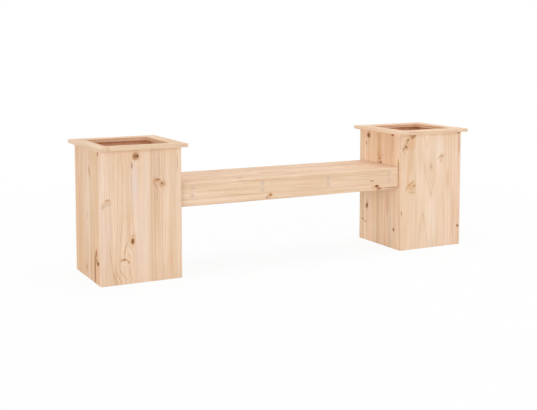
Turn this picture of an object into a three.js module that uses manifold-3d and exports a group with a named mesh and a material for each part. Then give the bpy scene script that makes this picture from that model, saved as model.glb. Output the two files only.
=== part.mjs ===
// A garden bench with a planter box at each end, made of planed softwood boards.
// Millimetres, +Z up. The origin is on the ground, in the middle of the footprint;
// +X runs along the seat and +Y to the back.
import * as THREE from 'three';
import { mergeVertices } from 'three/addons/utils/BufferGeometryUtils.js';
import Module from 'manifold-3d';

const wasm = await Module();
wasm.setup();

// Overall sizes
const overallLength = 1845; // over both rims
const overallHeight = 565; // ground to the top of the rims

// Planter walls
const planterSquare = 350; // outside of the four walls
const wallThickness = 15;

// Rim boards, laid flat on the walls
const rimThickness = 15;
const rimBoardWidth = 60;
const rimOverhang = 22.5; // beyond the walls, on every side

// Corner posts inside the planter
const postSquare = 20;

// Planter floor: slats on two bearers
const floorGroundClearance = 25; // ground to the underside of the bearers
const floorBearerHeight = 30;
const floorBearerThickness = 20;
const floorBearerFit = 0.5; // end gap between a bearer and each post
const floorSlatThickness = 15;
const floorSlatCount = 3;
const floorSlatGap = 6;
const floorEdgeFit = 1; // gap between the slats and the walls
const postNotchFit = 1; // gap between an outer slat's notch and the post

// Seat box between the planters
const seatTopHeight = 395;
const seatDepth = 320;
const seatEndGap = 2; // each end, to the planter wall
const apronHeight = 100;
const apronThickness = 15;
const seatPanelThickness = 15;

// Cross battens under the seat panel
const battenHeight = 48;
const battenThickness = 25;
const battenBearerGap = 2.5; // end batten to the seat bearer
const battenPairs = 2; // battens on each side of the middle

// Seat bearers, on the planters under the ends of the seat panel
const seatBearerThickness = 40;
const seatBearerSideGap = 5; // to each apron

// Countersunk screws through the aprons into the ends of the battens
const screwShankRadius = 2;
const screwHeadRadius = 4;
const screwHeadDepth = 2.4;
const screwTipLength = 3;
const screwBite = 30; // how far a screw reaches into its batten
const screwClearance = 0.3;
const screwSpacing = 33; // between the two screws of a pair, up and down
const screwSides = 12;

// A cut runs this far out of the face that it starts from
const cutOverrun = 1;

// Places that follow from the sizes
const rimSquare = planterSquare + 2 * rimOverhang; // outside of one rim, along X and along Y
const planterCentreX = (overallLength - rimSquare) / 2;
const innerWallX = planterCentreX - planterSquare / 2; // outer face of the wall beside the seat
const wallHeight = overallHeight - rimThickness;
const insideSquare = planterSquare - 2 * wallThickness;
const wallCentre = planterSquare / 2 - wallThickness / 2;
const postCentre = insideSquare / 2 - postSquare / 2;
const rimOpening = rimSquare - 2 * rimBoardWidth;
const rimBoardCentre = rimSquare / 2 - rimBoardWidth / 2;
const floorBearerTop = floorGroundClearance + floorBearerHeight;
const floorBearerCentre = insideSquare / 2 - floorBearerThickness / 2;
const floorBearerLength = insideSquare - 2 * postSquare - 2 * floorBearerFit;
const slatLength = insideSquare - 2 * floorEdgeFit;
const slatWidth = (slatLength - (floorSlatCount - 1) * floorSlatGap) / floorSlatCount;
const slatPitch = slatWidth + floorSlatGap;
const seatLength = 2 * (innerWallX - seatEndGap);
const seatPanelWidth = seatDepth - 2 * apronThickness;
const apronCentre = seatDepth / 2 - apronThickness / 2;
const battenTop = seatTopHeight - seatPanelThickness;
const battenMiddle = battenTop - battenHeight / 2;
const endBattenX = innerWallX - seatBearerThickness - battenBearerGap - battenThickness / 2;
const battenPitch = (2 * endBattenX) / (2 * battenPairs - 1);
const seatBearerWidth = seatPanelWidth - 2 * seatBearerSideGap;
const screwLength = apronThickness + screwBite;

const pine = new THREE.MeshStandardMaterial({ color: 0xe8cdae, roughness: 0.6, metalness: 0 });
const steel = new THREE.MeshStandardMaterial({ color: 0xc9cbd0, roughness: 0.35, metalness: 1 });
for (const material of [pine, steel]) material.flatShading = true;

// A closed solid from a geometry, with its shared corners welded and its flat slivers dropped
function solidOf(geometry) {
  const bare = geometry.clone();
  for (const name of Object.keys(bare.attributes)) {
    if (name !== 'position') bare.deleteAttribute(name);
  }
  const welded = mergeVertices(bare);
  const corners = welded.index.array;
  const kept = [];
  for (let i = 0; i < corners.length; i += 3) {
    const [a, b, c] = corners.subarray(i, i + 3);
    if (a !== b && b !== c && c !== a) kept.push(a, b, c);
  }
  const vertProperties = Float32Array.from(welded.attributes.position.array);
  const triVerts = Uint32Array.from(kept);
  return new wasm.Manifold(new wasm.Mesh({ numProp: 3, vertProperties, triVerts }));
}

function meshOf(name, solid, material, middle) {
  const { vertProperties, triVerts } = solid.getMesh();
  const geometry = new THREE.BufferGeometry();
  geometry.setAttribute('position', new THREE.BufferAttribute(vertProperties, 3));
  geometry.setIndex(new THREE.BufferAttribute(triVerts, 1));
  geometry.computeVertexNormals();
  const mesh = new THREE.Mesh(geometry, material);
  mesh.name = name;
  mesh.position.set(...middle);
  return mesh;
}

// A straight board, centred on its middle. Each cut is a geometry in the frame of the board's group.
function board(name, size, middle, cuts = []) {
  let solid = solidOf(new THREE.BoxGeometry(...size));
  for (const cut of cuts) {
    const [x, y, z] = middle;
    solid = solid.subtract(solidOf(cut.clone().translate(-x, -y, -z)));
  }
  return meshOf(name, solid, pine, middle);
}

// A floor slat, lying flat. notched is -1 or 1 for an outer slat, on the side where
// it is cut back at both ends to pass the posts, and 0 for a plain one.
function floorSlat(name, middle, notched) {
  const x = slatWidth / 2;
  const y = slatLength / 2;
  const notch = postSquare + postNotchFit - floorEdgeFit;
  const plain = [[-x, -y], [x, -y], [x, y], [-x, y]];
  const passing = [
    [-x, -y], [x - notch, -y], [x - notch, notch - y], [x, notch - y],
    [x, y - notch], [x - notch, y - notch], [x - notch, y], [-x, y],
  ];
  const corners = notched === 0 ? plain : passing;
  const outline = new THREE.Shape(corners.map(([a, b]) => new THREE.Vector2(a, b)));
  const geometry = new THREE.ExtrudeGeometry(outline, { depth: floorSlatThickness, bevelEnabled: false });
  geometry.translate(0, 0, -floorSlatThickness / 2);
  if (notched < 0) geometry.rotateZ(Math.PI);
  return meshOf(name, solidOf(geometry), pine, middle);
}

// One planter, in a group centred on it. side is -1 for the left one and 1 for the right one,
// so its outer wall is at side along X and the wall beside the seat at -side.
function planter(side) {
  const called = side < 0 ? 'left' : 'right';
  const group = new THREE.Group();
  group.position.x = side * planterCentreX;
  const frontAndBack = [['front', -1], ['back', 1]];
  const outerAndInner = [['outer', side], ['inner', -side]];
  const wallMiddle = wallHeight / 2;

  // Walls: the front and back ones cover the edges of the two side ones
  const crossWall = [planterSquare, wallThickness, wallHeight];
  const sideWall = [wallThickness, insideSquare, wallHeight];
  for (const [name, y] of frontAndBack) {
    group.add(board(`${called}_planter_${name}_wall`, crossWall, [0, y * wallCentre, wallMiddle]));
  }
  for (const [name, x] of outerAndInner) {
    group.add(board(`${called}_planter_${name}_wall`, sideWall, [x * wallCentre, 0, wallMiddle]));
  }

  // Corner posts, the full height of the walls
  const post = [postSquare, postSquare, wallHeight];
  for (const [nameY, y] of frontAndBack) {
    for (const [nameX, x] of outerAndInner) {
      const name = `${called}_${nameY}_${nameX}_post`;
      group.add(board(name, post, [x * postCentre, y * postCentre, wallMiddle]));
    }
  }

  // Rim: the side boards run the full depth, the front and back ones fit between them
  const rimMiddle = wallHeight + rimThickness / 2;
  const rimSide = [rimBoardWidth, rimSquare, rimThickness];
  const rimCross = [rimOpening, rimBoardWidth, rimThickness];
  for (const [name, x] of outerAndInner) {
    group.add(board(`${called}_rim_${name}_board`, rimSide, [x * rimBoardCentre, 0, rimMiddle]));
  }
  for (const [name, y] of frontAndBack) {
    group.add(board(`${called}_rim_${name}_board`, rimCross, [0, y * rimBoardCentre, rimMiddle]));
  }

  // Floor bearers along the front and back walls, between the posts
  const floorBearer = [floorBearerLength, floorBearerThickness, floorBearerHeight];
  const bearerMiddle = floorGroundClearance + floorBearerHeight / 2;
  for (const [name, y] of frontAndBack) {
    const middle = [0, y * floorBearerCentre, bearerMiddle];
    group.add(board(`${called}_floor_${name}_bearer`, floorBearer, middle));
  }

  // Floor slats from front to back on the bearers
  for (let i = 0; i < floorSlatCount; i += 1) {
    const x = (i - (floorSlatCount - 1) / 2) * slatPitch;
    const notched = i === 0 ? -1 : Number(i === floorSlatCount - 1);
    const middle = [x, 0, floorBearerTop + floorSlatThickness / 2];
    group.add(floorSlat(`${called}_floor_slat_${i + 1}`, middle, notched));
  }

  // Seat bearer on the outside of the wall beside the seat
  const seatBearer = [seatBearerThickness, seatBearerWidth, battenHeight];
  const seatBearerX = -side * (planterSquare / 2 + seatBearerThickness / 2);
  group.add(board(`${called}_seat_bearer`, seatBearer, [seatBearerX, 0, battenMiddle]));
  return group;
}

// A turned shape from the points of its profile, given as distances from the axis and along it.
// The axis is turned from +Y to the given way along Y, and the shape is moved to its place.
function turned(profile, [x, y, z], way) {
  const points = profile.map(([radius, along]) => new THREE.Vector2(radius, along));
  const geometry = new THREE.LatheGeometry(points, screwSides);
  if (way > 0) geometry.rotateX(Math.PI);
  return geometry.translate(x, y, z);
}

// A screw whose head's face is centred on a place. way is 1 where it is driven along +Y.
function screw(name, head, way) {
  const profile = [
    [0, -screwLength],
    [screwShankRadius, screwTipLength - screwLength],
    [screwShankRadius, -screwHeadDepth],
    [screwHeadRadius, 0],
    [0, 0],
  ];
  return meshOf(name, solidOf(turned(profile, [0, 0, 0], way)), steel, head);
}

function screwHole(head, way) {
  const shank = screwShankRadius + screwClearance;
  const mouth = screwHeadRadius + screwClearance;
  const profile = [
    [0, -screwLength - screwClearance],
    [shank, screwTipLength - screwLength - screwClearance],
    [shank, -screwHeadDepth - screwClearance],
    [mouth, -screwClearance],
    [mouth, cutOverrun],
    [0, cutOverrun],
  ];
  return turned(profile, head, way);
}

// The seat: two aprons with the seat panel let in between them, over cross battens
function seat() {
  const group = new THREE.Group();
  const battenX = [];
  for (let i = 0; i < 2 * battenPairs; i += 1) battenX.push(i * battenPitch - endBattenX);

  const apron = [seatLength, apronThickness, apronHeight];
  const apronMiddle = seatTopHeight - apronHeight / 2;
  const battenCuts = battenX.map(() => []);
  for (const [called, y] of [['front', -1], ['back', 1]]) {
    const apronCuts = [];
    battenX.forEach((x, i) => {
      for (const [row, rise] of [['upper', screwSpacing / 2], ['lower', -screwSpacing / 2]]) {
        const head = [x, y * (seatDepth / 2), battenMiddle + rise];
        const hole = screwHole(head, -y);
        apronCuts.push(hole);
        battenCuts[i].push(hole);
        group.add(screw(`${called}_${row}_screw_${i + 1}`, head, -y));
      }
    });
    group.add(board(`seat_${called}_apron`, apron, [0, y * apronCentre, apronMiddle], apronCuts));
  }

  const panel = [seatLength, seatPanelWidth, seatPanelThickness];
  group.add(board('seat_panel', panel, [0, 0, seatTopHeight - seatPanelThickness / 2]));

  const batten = [battenThickness, seatPanelWidth, battenHeight];
  battenX.forEach((x, i) => {
    group.add(board(`seat_batten_${i + 1}`, batten, [x, 0, battenMiddle], battenCuts[i]));
  });
  return group;
}

const bench = new THREE.Group();
bench.add(planter(-1), planter(1), seat());

export default bench;
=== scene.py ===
"""The looks of a garden bench with a planter box at each end: pine boards and zinc-plated screws.

Metres, +Z up. +X runs along the seat and +Y to the back. Tables of places and sizes are in
millimetres, because a maker marks a board out in them."""

import math
import random

import bmesh
import bpy
from mathutils import Matrix, Vector


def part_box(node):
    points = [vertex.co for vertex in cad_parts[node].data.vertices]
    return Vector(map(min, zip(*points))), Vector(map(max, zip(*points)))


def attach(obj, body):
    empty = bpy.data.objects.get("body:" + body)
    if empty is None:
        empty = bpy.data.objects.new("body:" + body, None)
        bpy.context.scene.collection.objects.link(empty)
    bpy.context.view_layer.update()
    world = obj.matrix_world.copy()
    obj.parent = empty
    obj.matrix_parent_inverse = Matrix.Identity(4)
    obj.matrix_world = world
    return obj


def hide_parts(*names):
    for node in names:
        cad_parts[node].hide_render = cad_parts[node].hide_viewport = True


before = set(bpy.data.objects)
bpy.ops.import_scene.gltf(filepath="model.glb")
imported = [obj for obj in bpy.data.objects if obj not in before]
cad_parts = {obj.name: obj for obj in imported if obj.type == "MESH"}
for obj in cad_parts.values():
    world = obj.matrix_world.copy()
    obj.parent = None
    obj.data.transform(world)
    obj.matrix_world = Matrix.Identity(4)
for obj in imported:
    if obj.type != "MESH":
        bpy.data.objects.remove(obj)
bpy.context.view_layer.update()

MM = 0.001
BODY = "root"


def srgb(red, green, blue):
    """A linear colour from the values that a screen shows, 0 to 255."""
    linear = []
    for value in (red, green, blue):
        share = value / 255
        linear.append(share / 12.92 if share <= 0.04045 else ((share + 0.055) / 1.055) ** 2.4)
    return (*linear, 1.0)


# Wood
EARLY_WOOD = srgb(238, 212, 186)
LATE_WOOD = srgb(206, 147, 96)
PINK_TINT = (1.0, 0.985, 1.0, 1.0)
YELLOW_TINT = (1.0, 0.99, 0.955, 1.0)
SHADE_WARMTH = (0.72, 1.0, 1.27)  # how much of a darker streak falls on red, green and blue
PINE_SHEEN = 0.3
PINE_RELIEF = (0.35, 0.3 * MM)  # strength and depth
RIPPLE_SCALE = 95.0  # of the unevenness in the outlines of knots and marks
SWAY_SCALE = Vector((90.0, 16.0, 90.0))
SWAY = Vector((2.2, 2.2, 2.2)) * MM  # how far an outline sways

# Tints of some faces: red, green, blue, and how clear the rings are on them. All but END_GRAIN are painted
# light or shade
INSIDE_BOUNCE_LIGHT_PAINT = (1.16, 1.02, 0.93, 0.45)  # painted reddish bounce light on a front or back wall's face that looks into the planter
INSIDE_END_PAINTED_SHADE = (1.04, 0.84, 0.70, 0.45)  # and painted shade, darker and redder, on a side wall's
# painted shade on every side of the posts, in the planters' inner corners
POST_PAINTED_SHADE = (0.95, 0.71, 0.58, 0.45)
RIM_EDGE_PAINTED_LIGHT = (1.12, 1.02, 0.96, 1.0)  # painted light on the rim's edges round the opening
END_GRAIN = (0.96, 0.93, 0.92, 0.45)  # a sawn end
FACING = 0.8  # a face looks one way where its normal leans less than about 37 degrees from it
RIM_LIGHT = {"left": 0.905, "right": 0.945}

# Knots and marks
RED_KNOT = srgb(190, 138, 95)
DARK_KNOT = srgb(140, 86, 42)
TAN_KNOT = srgb(206, 158, 114)
BARK = srgb(86, 44, 16)
BROWN = srgb(138, 78, 32)
WARM = srgb(218, 170, 124)
TAN = srgb(202, 154, 112)
DULL = srgb(196, 153, 118)
OLIVE = srgb(198, 156, 102)
LILAC = srgb(229, 208, 197)
ROSE = srgb(226, 178, 142)
PALE = srgb(244, 226, 208)
SMOKE = srgb(205, 178, 164)
STAINS = (BROWN, BARK)  # marks of these lie over the knots, and the others under them
KNOT_KINDS = {  # colour, then how strongly the core, bark, halo and heart show
    "red": (RED_KNOT, 0.9, 0.35, 0.4, 0.25),
    "dark": (DARK_KNOT, 0.88, 0.25, 0.5, 0.5),
    "tan": (TAN_KNOT, 0.75, 0.3, 0.4, 0.5),
    "mild": (TAN_KNOT, 0.5, 0.2, 0.3, 0.4),
    "faint": (DULL, 0.36, 0.0, 0.22, 0.1),
    "bend": None,  # grain that flows round a knot under the face
}
ANY = -1  # the stave of a mark that no joint stops
MARK_FADE = (0.25, 1.2)  # where a mark fades out, in its half sizes

# Steel
ZINC = srgb(218, 199, 184)
ZINC_SHADE = srgb(204, 186, 174)
ZINC_SPOT_SCALE = 900.0
ZINC_ROUGHNESS = (0.45, 0.6)
ZINC_METAL_SHARE = 0.4
ZINC_RELIEF = (0.2, 0.1 * MM)

# Boards
WALL_EASE = 1.4 * MM
RIM_EASE = 1.0 * MM
SEAT_EASE = 2.4 * MM
HIDDEN_EASE = 0.8 * MM
EASE_STEPS = 3
POST_NOTCH = 20 * MM
WALL_WIDTH, RIM_WIDTH, APRON_WIDTH = 350, 60, 100  # widths for marking out, in millimetres
POST_WIDTH, BEARER_WIDTH, SLAT_WIDTH, BATTEN_WIDTH = 20, 30, 102, 48
WALL_KNOTS = (8, -530, -20)  # how many on a wall that isn't seen, and between which heights
APRON_KNOTS_BEHIND = (6, -520, 520)
POSTS = ("front_outer", "front_inner", "back_outer", "back_inner")
GRAIN_LAYERS = {  # what mark_grain writes, with each layer's kind and where it is kept
    "grain": ("FLOAT_VECTOR", "POINT"), "stave": ("FLOAT", "FACE"), "pith": ("FLOAT_VECTOR", "FACE"),
    "dome": ("FLOAT_VECTOR", "FACE"), "tone": ("FLOAT_COLOR", "FACE"),
}
UNDER_SEAT = [f"seat_batten_{number}" for number in (1, 2, 3, 4)] + ["left_seat_bearer", "right_seat_bearer"]

# Screws
HEAD_RADIUS = 3.9 * MM
HEAD_DEPTH = 2.3 * MM
HEAD_RIM = 0.25 * MM
HEAD_DISH = 0.02 * MM
SHANK_RADIUS = 1.7 * MM
THREAD_HEIGHT = 0.5 * MM
THREAD_ROOT = 0.15 * MM
THREAD_HALF_WIDTH = 0.35 * MM
THREAD_PITCH = 2.2 * MM
THREAD_STEPS = 14  # in one turn
THREAD_START_SHARE = 0.35  # of a screw's length
TIP_LENGTH = 3.0 * MM
SCREW_SIDES = 32
RECESS_REACH = 1.9 * MM
RECESS_HALF_WIDTH = 0.42 * MM
RECESS_DEPTH = 1.0 * MM
RECESS_FLARE = 1.35  # how much wider the cutter for the recess is at its top
HOLE_ROOM = 0.1 * MM  # round a screw in its hole
HEAD_PROUD = 0.3 * MM  # of a hidden fixing's head over the wood

# Places of hidden screws, in millimetres
POST_SCREWS_X = (110, 275, 440)  # heights of those driven sideways
POST_SCREWS_Y = (135, 300, 465)  # and of those driven to the front or back
SLAT_SCREWS = (-24, 24)
BEARER_SCREWS = (-110, -40, 40, 110)
BATTEN_SCREWS = (-80, 80)

# Studio
WHITE = (1.0, 1.0, 1.0, 1.0)
SKY_LIGHT = 0.54
FLOOR_PAINT = (0.95, 0.95, 0.95, 1.0)
FLOOR_RADIUS = 30.0
FLOOR_SIDES = 96
FLOOR_GAP = 0.2 * MM
SHADOW_REACH = (1.2, 3.0)  # where the floor's shadow starts to fade, and where it is gone
SHADOWLESS_SHARE = 0.92  # of the floor near the bench
PLANTER_MIDDLE = 725 * MM  # along from the bench's middle
PLANTER_INSIDE = 162 * MM  # from a planter's middle to just under its walls
SHADE_EDGE = 10 * MM  # how softly the shade in a planter ends, under the walls
LAMPS = {  # place, aim, width and height in metres, and watts
    "key light": (Vector((2.2, -4.4, 2.6)), Vector((0.0, 0.0, 0.3)), 3.0, 3.0, 55.0),
    "low fill light": (Vector((-9.0, -4.9, 1.6)), Vector((0.3, 0.0, 0.25)), 5.6, 3.0, 325.0),
    "overhead light": (Vector((0.0, 0.3, 4.2)), Vector((0.0, 0.0, 0.0)), 4.0, 3.0, 74.0),
}

# The photograph's camera
CAMERA_PLACE = Vector((-2.01406, -3.80397, 0.98725))
CAMERA_PITCH = 0.0873
CAMERA_YAW = 0.4757
CAMERA_SENSOR = 36.0
CAMERA_LENS = 63.67
CAMERA_SHIFT = -0.1517

AXES = {
    "+X": Vector((1, 0, 0)), "-X": Vector((-1, 0, 0)),
    "+Y": Vector((0, 1, 0)), "-Y": Vector((0, -1, 0)),
    "+Z": Vector((0, 0, 1)), "-Z": Vector((0, 0, -1)),
}


class Flow:
    """What one node hands on to others. Arithmetic with it makes Math or Vector Math nodes."""

    def __init__(self, wires, socket):
        self.wires = wires
        self.socket = socket

    def reckoned(self, operation, *values):
        kind = "ShaderNodeMath" if self.socket.type == "VALUE" else "ShaderNodeVectorMath"
        return self.wires.flow(kind, values, operation=operation)

    def __add__(self, other):
        return self.reckoned("ADD", self, other)

    def __sub__(self, other):
        return self.reckoned("SUBTRACT", self, other)

    def __rsub__(self, other):
        return self.reckoned("SUBTRACT", other, self)

    def __mul__(self, other):
        return self.reckoned("MULTIPLY", self, other)

    def __truediv__(self, other):
        return self.reckoned("DIVIDE", self, other)

    def step(self, low, high, result_low=0.0, result_high=1.0):
        """A smooth step from one result to another while this value goes from low to high."""
        inputs = [self, low, high, result_low, result_high]
        return self.wires.flow("ShaderNodeMapRange", inputs, interpolation_type="SMOOTHSTEP")

    def fade(self, low, high):
        """1 up to low, and 0 from high on."""
        return self.step(low, high, 1.0, 0.0)

    def bell(self):
        """1 where this value is 0, and next to nothing past 2 on either side."""
        return self.wires.math("EXPONENT", self * self * -1.0)

    def parts(self):
        """The three numbers of a vector."""
        made = self.wires.node("ShaderNodeSeparateXYZ", [self])
        return self.wires.outputs(made).values()


class Wiring:
    """Adds nodes to one tree."""

    def __init__(self, tree):
        self.tree = tree

    def node(self, kind, inputs=(), **settings):
        """A new node. Its inputs are given in order, or by name or number."""
        made = self.tree.nodes.new(kind)
        for name, value in settings.items():
            setattr(made, name, value)
        for key, value in inputs.items() if isinstance(inputs, dict) else enumerate(inputs):
            if isinstance(value, Flow):
                self.tree.links.new(value.socket, made.inputs[key])
            else:
                made.inputs[key].default_value = value
        return made

    def outputs(self, made):
        return {socket.name: Flow(self, socket) for socket in made.outputs}

    def flow(self, kind, inputs=(), output=0, **settings):
        """One output of a new node."""
        return Flow(self, self.node(kind, inputs, **settings).outputs[output])

    def math(self, operation, *values):
        return self.flow("ShaderNodeMath", values, operation=operation)

    def length(self, x, y):
        """How long a line is that runs x across and y along."""
        return self.math("SQRT", x * x + y * y)

    def total(self, values):
        summed, *others = values
        for value in others:
            summed = summed + value
        return summed

    def joined(self, x, y, z):
        return self.flow("ShaderNodeCombineXYZ", [x, y, z])

    def noise(self, vector, scale=1.0, detail=2.0, output=0):
        """Noise from 0 to 1 as output 0, or three different noises in a vector as output 1."""
        return self.flow("ShaderNodeTexNoise", {"Vector": vector, "Scale": scale, "Detail": detail}, output)

    def mix(self, share, first, second, blend="MIX"):
        inputs = {0: share, 6: first, 7: second}
        return self.flow("ShaderNodeMix", inputs, 2, data_type="RGBA", blend_type=blend)

    def attribute(self, name, output="Vector"):
        return self.flow("ShaderNodeAttribute", output=output, attribute_name=name)

    def group(self, tree, *values):
        return self.outputs(self.node("ShaderNodeGroup", values, node_tree=tree))


def node_group(**outputs):
    """Makes a node group of a rule. The rule's arguments after the wiring are the group's inputs, with
    their kinds (Float, Vector or Color) noted beside them, and what it gives back are the outputs."""
    def made_of(rule):
        tree = bpy.data.node_groups.new(rule.__name__, "ShaderNodeTree")
        for way, sockets in (("INPUT", rule.__annotations__), ("OUTPUT", outputs)):
            for called, kind in sockets.items():
                tree.interface.new_socket(called, in_out=way, socket_type=f"NodeSocket{kind}")
        wires = Wiring(tree)
        given = wires.outputs(wires.node("NodeGroupInput"))
        wires.node("NodeGroupOutput", rule(wires, *(given[name] for name in rule.__annotations__)))
        return tree
    return made_of


@node_group(distance="Float", push="Float", crack="Float")
def spot_shape(wires, grain: "Vector", middle: "Vector", half_size: "Vector", turn: "Float",
               bow: "Float", stave: "Float", own_stave: "Float", ripple: "Float"):
    """Where a point lies in a mark or knot: 0 at its middle, 1 at its edge, and far off on other
    staves. Also how far a knot there pushes the grain aside, and its drying crack. A spot may be
    turned and bowed, and the grain flows round a knot as water round a stone."""
    wobble = 0.3
    far = 30.0
    push_share = 1.05  # of the knot's half width
    reach_across, reach_along = 3.4, 2.6  # half widths and half heights
    crack_lean, crack_ripple, crack_width = 0.45, 0.35, 0.055
    crack_end = (0.45, 0.85)
    away = {"Vector": grain - middle, "Angle": turn}
    across, along, _ = wires.flow("ShaderNodeVectorRotate", away, rotation_type="Z_AXIS").parts()
    half_across, half_along, _ = half_size.parts()
    x = across / half_across
    y = (along - across * across * bow) / half_along
    here = wires.math("COMPARE", stave, own_stave, 0.5)
    distance = (1.0 - here) * far + (ripple * wobble + wires.length(x, y))
    near = (x / reach_across).bell() * (y / reach_along).bell()
    push = wires.math("TANH", x) * half_across * push_share * near * here
    off_crack = (y * crack_lean + x + ripple * crack_ripple) / crack_width
    return distance, push, off_crack.bell() * distance.fade(*crack_end)


@node_group(late_wood="Float")
def growth_rings(wires, grain: "Vector", pith: "Vector", dome: "Vector", push: "Float",
                 contrast: "Float"):
    """Late wood at a point of a board, from 0 to 1. The pith holds how far across and how deep behind
    the face the tree's middle runs, and the rings' width. The dome holds where along the board it
    lies deepest, how fast it comes nearer from there, and a number of the stave's own."""
    wander, wander_scale = 0.007, Vector((9.0, 1.5, 9.0))
    quiver, quiver_scale = 0.0012, Vector((95.0, 8.0, 95.0))
    uneven, uneven_scale = 1.6, 55.0
    palest, darkest = 0.3, 0.88  # where in a ring its late wood starts, and where it is darkest
    weak_years, weakest = (0.3, 0.95), 0.22  # how much paler some years' late wood is
    apart = 1.7  # keeps the noise of two staves from being the same but moved
    across, along, depth = grain.parts()
    pith_across, pith_depth, width = pith.parts()
    dome_place, dome_fall, seed = dome.parts()
    own = wires.joined(seed, seed * apart, seed)
    slow = wires.noise(grain * wander_scale + own, 1.0, 1.0) - 0.5
    quick = wires.noise(grain * quiver_scale + own, 1.0, 2.0) - 0.5
    x = across - push - pith_across + slow * wander + quick * quiver
    off_dome = along - dome_place
    y = depth + pith_depth - off_dome * off_dome * dome_fall
    radius = wires.length(x, y)
    drift = wires.noise(wires.joined(radius, seed, 0.0), uneven_scale, 0.0)
    ring = drift * uneven + radius / width
    share = wires.math("FRACT", ring)
    year = wires.joined(wires.math("FLOOR", ring), seed, 0.0)
    strength = wires.flow("ShaderNodeTexWhiteNoise", {"Vector": year}, "Value", noise_dimensions="2D")
    strength = strength.step(*weak_years, weakest, 1.0)
    return [share.step(palest, darkest) * share.fade(darkest, 1.0) * strength * contrast]


@node_group(colour="Color", fibre="Float")
def pine_colour(wires, grain: "Vector", late_wood: "Float", own_tone: "Color", seed: "Float"):
    """The colour of plain pine from its late wood, a stave's tone, and slow and fine streaks."""
    streaks = [  # scale and detail of the noise, the part of it that counts, and the shades there
        (Vector((24.0, 3.2, 24.0)), 2.0, 0.3, 0.72, 0.07, -0.06),
        (Vector((190.0, 4.0, 190.0)), 2.0, 0.25, 0.75, 0.055, -0.05),
        (Vector((1100.0, 26.0, 1100.0)), 2.0, 0.2, 0.8, 0.05, -0.05),
        (Vector((520.0, 48.0, 520.0)), 0.0, 0.16, 0.3, 0.12, 0.0),
    ]
    offset = wires.joined(seed, seed, seed)
    noises = [wires.noise(grain * scale + offset, 1.0, detail) for scale, detail, *_ in streaks]
    broad, _, fibre, _ = noises
    colour = wires.mix(late_wood, EARLY_WOOD, LATE_WOOD)
    tint = wires.mix(broad.step(0.3, 0.7), YELLOW_TINT, PINK_TINT)
    darker = wires.total([noise.step(*shading) for noise, (_, _, *shading) in zip(noises, streaks)])
    shade = wires.joined(*(darker * -share + 1.0 for share in SHADE_WARMTH))
    for layer in (tint, own_tone, shade):
        colour = wires.mix(1.0, colour, layer, "MULTIPLY")
    return colour, fibre


@node_group(colour="Color", inside="Float")
def knot_face(wires, colour: "Color", distance: "Float", crack: "Float", knot: "Color", core: "Float",
              bark: "Float", halo: "Float", heart: "Float"):
    """Lays a knot on the wood: a warm halo, a thin line of bark, rings, a dark heart and a crack."""
    halo_fade, core_fade, heart_fade = (0.8, 2.4), (0.75, 1.15), (0.12, 0.5)
    ring_share, ring_depth = 19.0, 0.13
    middle_light, edge_light = 0.82, 1.14
    bark_place, bark_width = 0.98, 0.16
    crack_share = 0.8
    colour = wires.mix(distance.fade(*halo_fade) * halo, colour, WARM)
    inside = distance.fade(*core_fade) * core
    light = wires.math("SINE", distance * ring_share) * ring_depth + 1.0
    light = light * distance.step(0.0, 1.1, middle_light, edge_light)
    knot = wires.mix(1.0, knot, wires.joined(light, light, light), "MULTIPLY")
    colour = wires.mix(inside, colour, knot)
    bark_line = ((distance - bark_place) / bark_width).bell() * bark
    crack = crack * core
    for share in (distance.fade(*heart_fade) * heart, bark_line, crack * crack_share):
        colour = wires.mix(share, colour, BARK)
    return colour, inside - crack


def patch(stave, across, along, half_across, half_along, paint, strength, turn=0):
    """A soft-edged oval mark, in millimetres and degrees."""
    return stave, across, along, half_across, half_along, turn, 0.0, paint, strength


def stroke(stave, start, end, sag, half_width, paint, strength):
    """A line from one place to another that bellies out sideways by sag, in millimetres."""
    overlap = 1.25
    run, rise = end[0] - start[0], end[1] - start[1]
    length = math.hypot(run, rise)
    middle = ((start[0] + end[0]) / 2 - sag * rise / length, (start[1] + end[1]) / 2 + sag * run / length)
    turn = -math.degrees(math.atan2(rise, run))
    bow = -sag / (length / 2) ** 2
    return stave, *middle, length / 2 * overlap, half_width, turn, bow, paint, strength


def bare_wiring(owner):
    """The wiring of a material or a world, with nothing in it yet."""
    owner.use_nodes = True
    owner.node_tree.nodes.clear()
    return Wiring(owner.node_tree)


def coat(wires, height, relief, inputs):
    """Gives a material its shader, and a fine relief of a strength and depth."""
    strength, depth = relief
    relief = wires.flow("ShaderNodeBump", {"Strength": strength, "Distance": depth, "Height": height})
    shader = wires.flow("ShaderNodeBsdfPrincipled", {"Normal": relief, **inputs})
    wires.node("ShaderNodeOutputMaterial", {"Surface": shader})


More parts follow.
